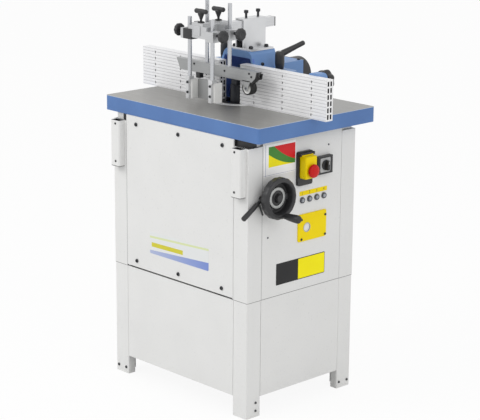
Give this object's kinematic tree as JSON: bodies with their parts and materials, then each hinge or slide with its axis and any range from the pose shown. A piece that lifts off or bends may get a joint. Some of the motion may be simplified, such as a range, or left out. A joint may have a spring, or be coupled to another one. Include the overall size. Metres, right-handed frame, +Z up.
{
  "type": "spindle moulder",
  "caption": "Spindle moulder on a steel cabinet: cast table, arbor raised by a handwheel, split aluminium fence with dust hood and sprung hold-down, switch panel.",
  "frame": {"origin": "on the floor under the middle of the cabinet", "axes": "+X along the fence to the operator's right, +Y to the back, +Z up"},
  "size_m": [0.7848, 0.5186, 1.147],
  "materials": {
    "painted_metal_white": "satin powder coat",
    "painted_metal_blue": "semi-gloss enamel",
    "table_iron": "ground top, painted edge",
    "bright_steel": "ground",
    "zinc_steel": "zinc plated",
    "aluminium": "extruded",
    "black_plastic": "fine grain",
    "red_plastic": "gloss",
    "green_plastic": "gloss",
    "yellow_plastic": "satin",
    "white_plastic": "satin",
    "grey_plastic": "satin",
    "cast_iron": "as cast",
    "rubber": "moulded",
    "chrome": "polished"
  },
  "bodies": {
    "cabinet": {"lower_legs": "painted_metal_white", "upper_frame": "painted_metal_white", "lower_panels": "painted_metal_white", "front_cover": "painted_metal_white", "upper_panels": "painted_metal_white", "control_panel": "painted_metal_white", "cabinet_screws": "zinc_steel", "corner_sockets": "painted_metal_white", "table": "table_iron", "table_rings": "bright_steel", "switch_base": "black_plastic", "selector_plate": "black_plastic", "indicator_lamps": "chrome", "window_plate": "yellow_plastic", "spindle_bracket": "cast_iron", "screw_bracket": "cast_iron"},
    "carriage": {"quill_carriage": "cast_iron", "spindle_bearings": "bright_steel", "motor": "aluminium", "drive_belt": "rubber"},
    "handwheel": {"handwheel": "black_plastic", "height_shaft": "bright_steel"},
    "handwheel_grip": {"handwheel_grip": "black_plastic"},
    "leadscrew": {"leadscrew": "bright_steel"},
    "lock_lever": {"lock_lever": "black_plastic"},
    "spindle": {"spindle_shaft": "bright_steel", "spindle_pulley": "aluminium"},
    "motor_rotor": {"motor_pulley": "aluminium"},
    "switch_cover": {"switch_cover": "yellow_plastic"},
    "stop_button": {"stop_button": "red_plastic"},
    "start_button": {"start_button": "green_plastic"},
    "selector_knob": {"selector_knob": "black_plastic"},
    "fence": {"fence_casting": "painted_metal_blue", "dust_port": "black_plastic", "guard_column": "aluminium"},
    "left_plate": {"left_fence_plate": "aluminium"},
    "right_plate": {"right_fence_plate": "aluminium"},
    "left_clamp_lever": {"left_clamp_lever": "black_plastic"},
    "right_clamp_lever": {"right_clamp_lever": "black_plastic"},
    "left_fence_knob": {"left_fence_knob": "black_plastic"},
    "right_fence_knob": {"right_fence_knob": "black_plastic"},
    "front_thumb_screw": {"front_thumb_screw": "black_plastic"},
    "rear_thumb_screw": {"rear_thumb_screw": "black_plastic"},
    "guard_arm": {"guard_arm": "aluminium"},
    "front_bar": {"front_cross_bar": "aluminium"},
    "rear_bar": {"rear_cross_bar": "aluminium"},
    "front_t_knob": {"front_t_knob": "black_plastic"},
    "rear_t_knob": {"rear_t_knob": "black_plastic"},
    "front_left_knob": {"front_left_knob": "black_plastic"},
    "front_right_knob": {"front_right_knob": "black_plastic"},
    "rear_left_knob": {"rear_left_knob": "black_plastic"},
    "rear_right_knob": {"rear_right_knob": "black_plastic"},
    "shoe": {"front_rods": "bright_steel", "press_shoe": "zinc_steel", "shoe_cheeks": "white_plastic"},
    "beam": {"rear_rods": "bright_steel", "press_beam": "aluminium", "roller_bracket": "zinc_steel"},
    "roller": {"roller_wheel": "rubber"}
  },
  "joints": [
    {"name": "spindle_height", "type": "slide", "parent": "cabinet", "child": "carriage", "axis": [0, 0, 1], "range_m": [-0.039, 0.033]},
    {"name": "handwheel_turn", "type": "hinge", "parent": "cabinet", "child": "handwheel", "pos_m": [0.3, -0.135, 0.6435], "axis": [1, 0, 0], "range_deg": [-2386, 2818]},
    {"name": "grip_spin", "type": "hinge", "parent": "handwheel", "child": "handwheel_grip", "pos_m": [0.36, -0.12353, 0.59381], "axis": [1, 0, 0], "continuous": true},
    {"name": "leadscrew_turn", "type": "hinge", "parent": "cabinet", "child": "leadscrew", "pos_m": [0.088, -0.135, 0.7], "axis": [0, 0, 1], "range_deg": [-2818, 2386]},
    {"name": "lock_lever_turn", "type": "hinge", "parent": "cabinet", "child": "lock_lever", "pos_m": [0.3, -0.168, 0.641], "axis": [1, 0, 0], "range_deg": [-50, 30]},
    {"name": "spindle_spin", "type": "hinge", "parent": "carriage", "child": "spindle", "pos_m": [0, 0.02, 0.7], "axis": [0, 0, 1], "continuous": true},
    {"name": "motor_spin", "type": "hinge", "parent": "carriage", "child": "motor_rotor", "pos_m": [-0.162, 0.02, 0.58], "axis": [0, 0, 1], "continuous": true},
    {"name": "switch_cover_swing", "type": "hinge", "parent": "cabinet", "child": "switch_cover", "pos_m": [0.299, 0.002, 0.744], "axis": [0, -1, 0], "range_deg": [0, 105]},
    {"name": "stop_press", "type": "slide", "parent": "switch_cover", "child": "stop_button", "axis": [-1, 0, 0], "range_m": [0, 0.004], "stiffness_N_per_m": 900},
    {"name": "start_press", "type": "slide", "parent": "cabinet", "child": "start_button", "axis": [-1, 0, 0], "range_m": [0, 0.004], "stiffness_N_per_m": 700},
    {"name": "selector_turn", "type": "hinge", "parent": "cabinet", "child": "selector_knob", "pos_m": [0.305, 0.079, 0.7], "axis": [1, 0, 0], "range_deg": [-45, 45]},
    {"name": "fence_depth", "type": "slide", "parent": "cabinet", "child": "fence", "axis": [0, 1, 0], "range_m": [-0.025, 0.035]},
    {"name": "left_plate_slide", "type": "slide", "parent": "fence", "child": "left_plate", "axis": [1, 0, 0], "range_m": [-0.025, 0.012]},
    {"name": "right_plate_slide", "type": "slide", "parent": "fence", "child": "right_plate", "axis": [1, 0, 0], "range_m": [-0.012, 0.025]},
    {"name": "left_clamp_turn", "type": "hinge", "parent": "fence", "child": "left_clamp_lever", "pos_m": [-0.122, 0.08, 0.97], "axis": [0, 0, 1], "range_deg": [-40, 40]},
    {"name": "right_clamp_turn", "type": "hinge", "parent": "fence", "child": "right_clamp_lever", "pos_m": [0.108, 0.08, 0.97], "axis": [0, 0, 1], "range_deg": [-40, 40]},
    {"name": "left_fence_knob_turn", "type": "hinge", "parent": "left_plate", "child": "left_fence_knob", "pos_m": [-0.308, 0.06, 0.914], "axis": [0, 1, 0], "continuous": true},
    {"name": "right_fence_knob_turn", "type": "hinge", "parent": "right_plate", "child": "right_fence_knob", "pos_m": [0.308, 0.06, 0.948], "axis": [0, 1, 0], "continuous": true},
    {"name": "front_thumb_turn", "type": "hinge", "parent": "fence", "child": "front_thumb_screw", "pos_m": [0, 0.0483, 1.1], "axis": [0, 0, 1], "continuous": true},
    {"name": "rear_thumb_turn", "type": "hinge", "parent": "fence", "child": "rear_thumb_screw", "pos_m": [0, 0.0963, 1.1], "axis": [0, 0, 1], "continuous": true},
    {"name": "arm_slide", "type": "slide", "parent": "fence", "child": "guard_arm", "axis": [0, 1, 0], "range_m": [-0.05, 0.012]},
    {"name": "front_bar_slide", "type": "slide", "parent": "guard_arm", "child": "front_bar", "axis": [0, 1, 0], "range_m": [0, 0.005]},
    {"name": "rear_bar_slide", "type": "slide", "parent": "guard_arm", "child": "rear_bar", "axis": [0, 1, 0], "range_m": [-0.004, 0.01]},
    {"name": "shoe_height", "type": "slide", "parent": "front_bar", "child": "shoe", "axis": [0, 0, 1], "range_m": [-0.017, 0.08]},
    {"name": "beam_height", "type": "slide", "parent": "rear_bar", "child": "beam", "axis": [0, 0, 1], "range_m": [-0.03, 0.06]},
    {"name": "roller_spin", "type": "hinge", "parent": "beam", "child": "roller", "pos_m": [0.124, -0.055, 0.914], "axis": [0, 1, 0], "continuous": true},
    {"name": "front_t_knob_turn", "type": "hinge", "parent": "front_bar", "child": "front_t_knob", "pos_m": [0, -0.128, 1.11], "axis": [0, 0, 1], "continuous": true},
    {"name": "front_left_knob_turn", "type": "hinge", "parent": "front_bar", "child": "front_left_knob", "pos_m": [-0.08, -0.128, 1.063], "axis": [1, 0, 0], "continuous": true},
    {"name": "front_right_knob_turn", "type": "hinge", "parent": "front_bar", "child": "front_right_knob", "pos_m": [0.08, -0.128, 1.063], "axis": [1, 0, 0], "continuous": true},
    {"name": "rear_t_knob_turn", "type": "hinge", "parent": "rear_bar", "child": "rear_t_knob", "pos_m": [0, -0.061, 1.11], "axis": [0, 0, 1], "continuous": true},
    {"name": "rear_left_knob_turn", "type": "hinge", "parent": "rear_bar", "child": "rear_left_knob", "pos_m": [-0.08, -0.061, 1.063], "axis": [1, 0, 0], "continuous": true},
    {"name": "rear_right_knob_turn", "type": "hinge", "parent": "rear_bar", "child": "rear_right_knob", "pos_m": [0.08, -0.061, 1.063], "axis": [1, 0, 0], "continuous": true}
  ],
  "couplings": [
    {"joint": "handwheel_turn", "follows": "spindle_height", "rad_per_m": -1256.6},
    {"joint": "leadscrew_turn", "follows": "spindle_height", "rad_per_m": 1256.6},
    {"joint": "spindle_spin", "follows": "motor_spin", "ratio": 1.8669}
  ]
}
